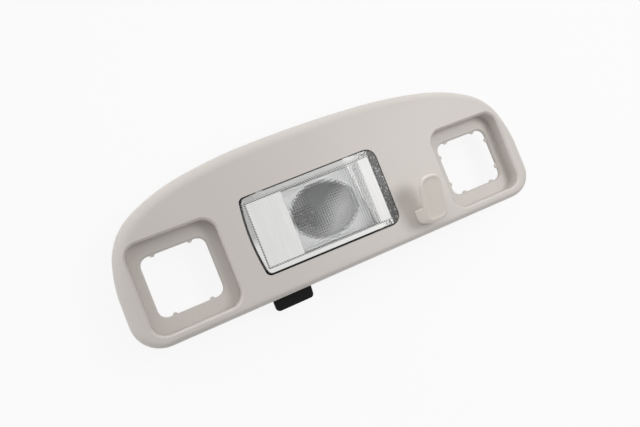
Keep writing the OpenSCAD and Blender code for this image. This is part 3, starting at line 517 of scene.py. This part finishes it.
def put_in_order(item):
    """Number a mesh by its distance from an odd point, because a boolean's own order changes
    from run to run, and what is merged after it with that order."""
    bpy.context.scene.cursor.location = (0.3137, -0.2711, 0.1931)
    edit(item)
    bpy.ops.mesh.sort_elements(type="CURSOR_DISTANCE", elements={"VERT", "EDGE", "FACE"})
    done()


def boolean(item, other, operation):
    """Add another mesh to a piece or cut it out, and delete that mesh."""
    apply(item, "BOOLEAN", object=other, operation=operation, solver="EXACT")
    mesh = other.data
    bpy.data.objects.remove(other)
    bpy.data.meshes.remove(mesh)
    put_in_order(item)


def block(low, high):
    """A box between two corners in millimetres, for cutting."""
    low, high = Vector(low) * MM, Vector(high) * MM
    bpy.ops.object.select_all(action="DESELECT")
    bpy.ops.mesh.primitive_cube_add(size=1, location=(low + high) / 2)
    item = bpy.context.active_object
    item.scale = high - low
    bpy.ops.object.transform_apply(location=True, rotation=True, scale=True)
    return item


def prism_field(left, low, columns, rows, pitch, depth, level, thick):
    """Block whose underside, at a level, carries rows and columns of small pyramids."""
    size = Vector((columns, rows, 0)) * pitch * MM
    bpy.ops.object.select_all(action="DESELECT")
    bpy.ops.mesh.primitive_grid_add(
        x_subdivisions=columns, y_subdivisions=rows, size=1,
        location=(left * MM + size.x / 2, low * MM + size.y / 2, level * MM),
    )
    item = bpy.context.active_object
    item.scale = (size.x, size.y, 1)
    bpy.ops.object.transform_apply(location=True, rotation=True, scale=True)
    edit(item)
    bpy.ops.mesh.poke(offset=-depth * MM)
    bpy.ops.mesh.select_all(action="DESELECT")
    bpy.ops.mesh.select_mode(type="EDGE")
    bpy.ops.mesh.select_non_manifold()
    bpy.ops.mesh.extrude_edges_move(TRANSFORM_OT_translate={"value": (0, 0, thick * MM)})
    bpy.ops.mesh.edge_face_add()
    bpy.ops.mesh.select_all(action="SELECT")
    bpy.ops.mesh.normals_make_consistent(inside=False)
    done()
    return item


def lens_cover():
    """Clear cover: crossed prisms over the bowl in place of the solid's plain flutes,
    one row of small prisms inside the border and two strips at the stippled right end."""
    item = skin("lens", "lens_cover")
    under = lens_top - 2.0
    below_flutes = under - 1.7

    # The plain flutes go, from a little past the prisms on every side
    flutes = block(
        (prisms_left - 0.7, prisms_low - 0.45, below_flutes),
        (prisms_right + 0.6, prisms_high + 0.45, under - 0.01),
    )
    boolean(item, flutes, "DIFFERENCE")

    # Left and low corner, columns, rows, pitch and depth: the field over the bowl, the row
    # inside the border at its low, high and left side, and two strips at the right end
    row_left = lens_left + 5.3
    strip_low = lens_low + 7.0
    fields = (
        (prisms_left, prisms_low, prism_columns, prism_rows, prism_pitch, 0.38),
        (row_left, lens_low + 3.6, 66, 1, 1.1, 0.45),
        (row_left, lens_high - 5.6, 66, 1, 1.1, 0.45),
        (lens_left + 4.0, lens_low + 5.4, 1, 35, 1.1, 0.45),
        (end_left - 0.9, strip_low, 2, 45, 0.8, 0.35),
        (lens_right - 2.3, strip_low, 2, 45, 0.8, 0.35),
    )
    for i, sizes in enumerate(fields):
        # Each lies a little lower and is thicker than the last, so no two faces coincide
        level = under - 0.02 - 0.004 * i
        boolean(item, prism_field(*sizes, level, 0.5 + 0.03 * i), "UNION")
    edit(item)
    bpy.ops.mesh.remove_doubles(threshold=0.02 * MM)
    done()
    smooth(item, 20)
    place_for(item, "lens")


def hook_piece():
    """Coat hook with the soft edges of a moulding."""
    item = skin("coat_hook", "hook_moulding")
    apply(item, "REMESH", mode="VOXEL", voxel_size=0.4 * MM)
    apply(item, "SMOOTH", factor=0.5, iterations=36)
    only(item)
    bpy.ops.object.shade_smooth()
    place_for(item, "coat_hook")


# Solid, name of its piece, crease in degrees and rounding of its edges in millimetres
for node, name, crease, edge in (
    ("panel", "panel_moulding", 35, 0),
    ("lamp_body", "body_moulding", 35, 0.2),
    ("reflector_tray", "tray_moulding", 35, 0.2),
    ("reflector_bowl", "bowl_pressing", 30, 0),
    ("bulb_glass", "bulb_envelope", 40, 0),
    ("bulb_filament", "filament_coil", 40, 0),
    ("bulb_leads", "lead_wires", 40, 0),
    ("bulb_holder", "holder_moulding", 35, 0.2),
    ("feed_contact", "feed_strip", 35, 0),
    ("earth_contact", "earth_strip", 35, 0),
    ("contact_eyelets", "strip_eyelets", 40, 0),
    ("lamp_screws", "body_screws", 40, 0),
    ("tray_screws", "tray_post_screws", 40, 0),
    ("hook_screws", "hook_foot_screws", 40, 0),
    ("bowl_rings", "push_on_rings", 40, 0),
    ("lens_latch", "latch_leaf", 40, 0),
    ("hook_plate", "backing_plate", 35, 0.15),
    ("roof_clips", "spring_clips", 40, 0),
):
    moulding(node, name, crease, edge)
hook_piece()
lens_cover()

# Camera, at the photograph's viewing angle: its place, right and up were fitted to the panel

camera = bpy.data.objects.new("camera", bpy.data.cameras.new("camera"))
bpy.context.collection.objects.link(camera)
camera.data.sensor_width = 36
camera.data.lens = 29.25
right = Vector((0.8915, -0.3715, 0.2592)).normalized()
up = Vector((0.3549, 0.9284, 0.1100))
back = right.cross(up).normalized()
up = back.cross(right)
turn = Matrix((right, up, back)).transposed().to_4x4()
camera.matrix_world = Matrix.Translation((-0.1055, 0.0029, 0.3240)) @ turn
camera.data.clip_start = 0.01
bpy.context.scene.camera = camera
bpy.context.scene.view_settings.view_transform = "Standard"

# Floor, seen from above as white paper with the object's faint shadow, and not from below

rest_z = cad_box[0][2]
bpy.ops.object.select_all(action="DESELECT")
bpy.ops.mesh.primitive_plane_add(size=6, location=(0, 0, rest_z))
floor = bpy.context.active_object
floor.name = "floor"
sheet = bpy.data.materials.new("white_paper")
sheet.use_nodes = True
paper = Graph(sheet.node_tree)
matt = paper.node("BsdfDiffuse", {}, (0.8, 0.8, 0.8, 1))
white = paper.node("Emission", {}, (1, 1, 1, 1), 1.0)
top_side = paper.node("MixShader", {}, paper.looked_at() * 0.88, matt, white)
backfacing = paper.node("NewGeometry", {}, out="Backfacing")
no_sheet = paper.node("BsdfTransparent", {})
two_sides = paper.node("MixShader", {}, backfacing, top_side, no_sheet)
paper.node("OutputMaterial", {}, two_sides)
floor.data.materials.append(sheet)

# Light: a pale tent, and one soft box from the right

world = bpy.data.worlds.new("tent")
world.use_nodes = True
bpy.context.scene.world = world
tent = Graph(world.node_tree)
heading = tent.node("TexCoord", {}, out="Generated")
x, y, z = tent.split(heading)

# Lighter past the curved edge, and most of all low down on its left
all_round = 0.53 + y * 0.18 + x * 0.05
low_down = (1 - z).clamp() ** 6.0
low_light = low_down * (1.9 + y * 2.3 - x * 2.1)

# A patch of glare above the curved edge, and the camera's own shade in front
glare = rise(tent.along(heading, (-0.3, 0.62, 0.72)), 0.84, 0.94)
shade = rise(tent.along(heading, (-0.36, -0.1, 0.93)), 0.88, 0.97)
strength = (all_round + glare * 0.8 + low_light) * (1 - shade * 0.25) * 0.89

# White wherever it is looked at, and a light elsewhere
seen = tent.looked_at()
strength = strength * (1 - seen) + seen * 0.92
sky = tent.node("Background", {}, (1.0, 0.997, 0.994, 1), strength)
tent.node("OutputWorld", {}, sky)


def soft_box(name, place, aim, size, watts, colour):
    """Rectangular lamp at a place, turned to its aim."""
    lamp = bpy.data.lights.new(name, "AREA")
    lamp.shape = "RECTANGLE"
    lamp.size, lamp.size_y = size
    lamp.energy = watts
    lamp.color = colour
    item = bpy.data.objects.new(name, lamp)
    bpy.context.collection.objects.link(item)
    way = Vector(aim) - Vector(place)
    item.matrix_world = (
        Matrix.Translation(place) @ way.to_track_quat("-Z", "Y").to_matrix().to_4x4()
    )


soft_box(
    "key", place=(0.34, 0.06, 0.53), aim=(0.04, 0.02, 0), size=(0.24, 0.24),
    watts=1.17, colour=(1, 0.995, 0.985),
)
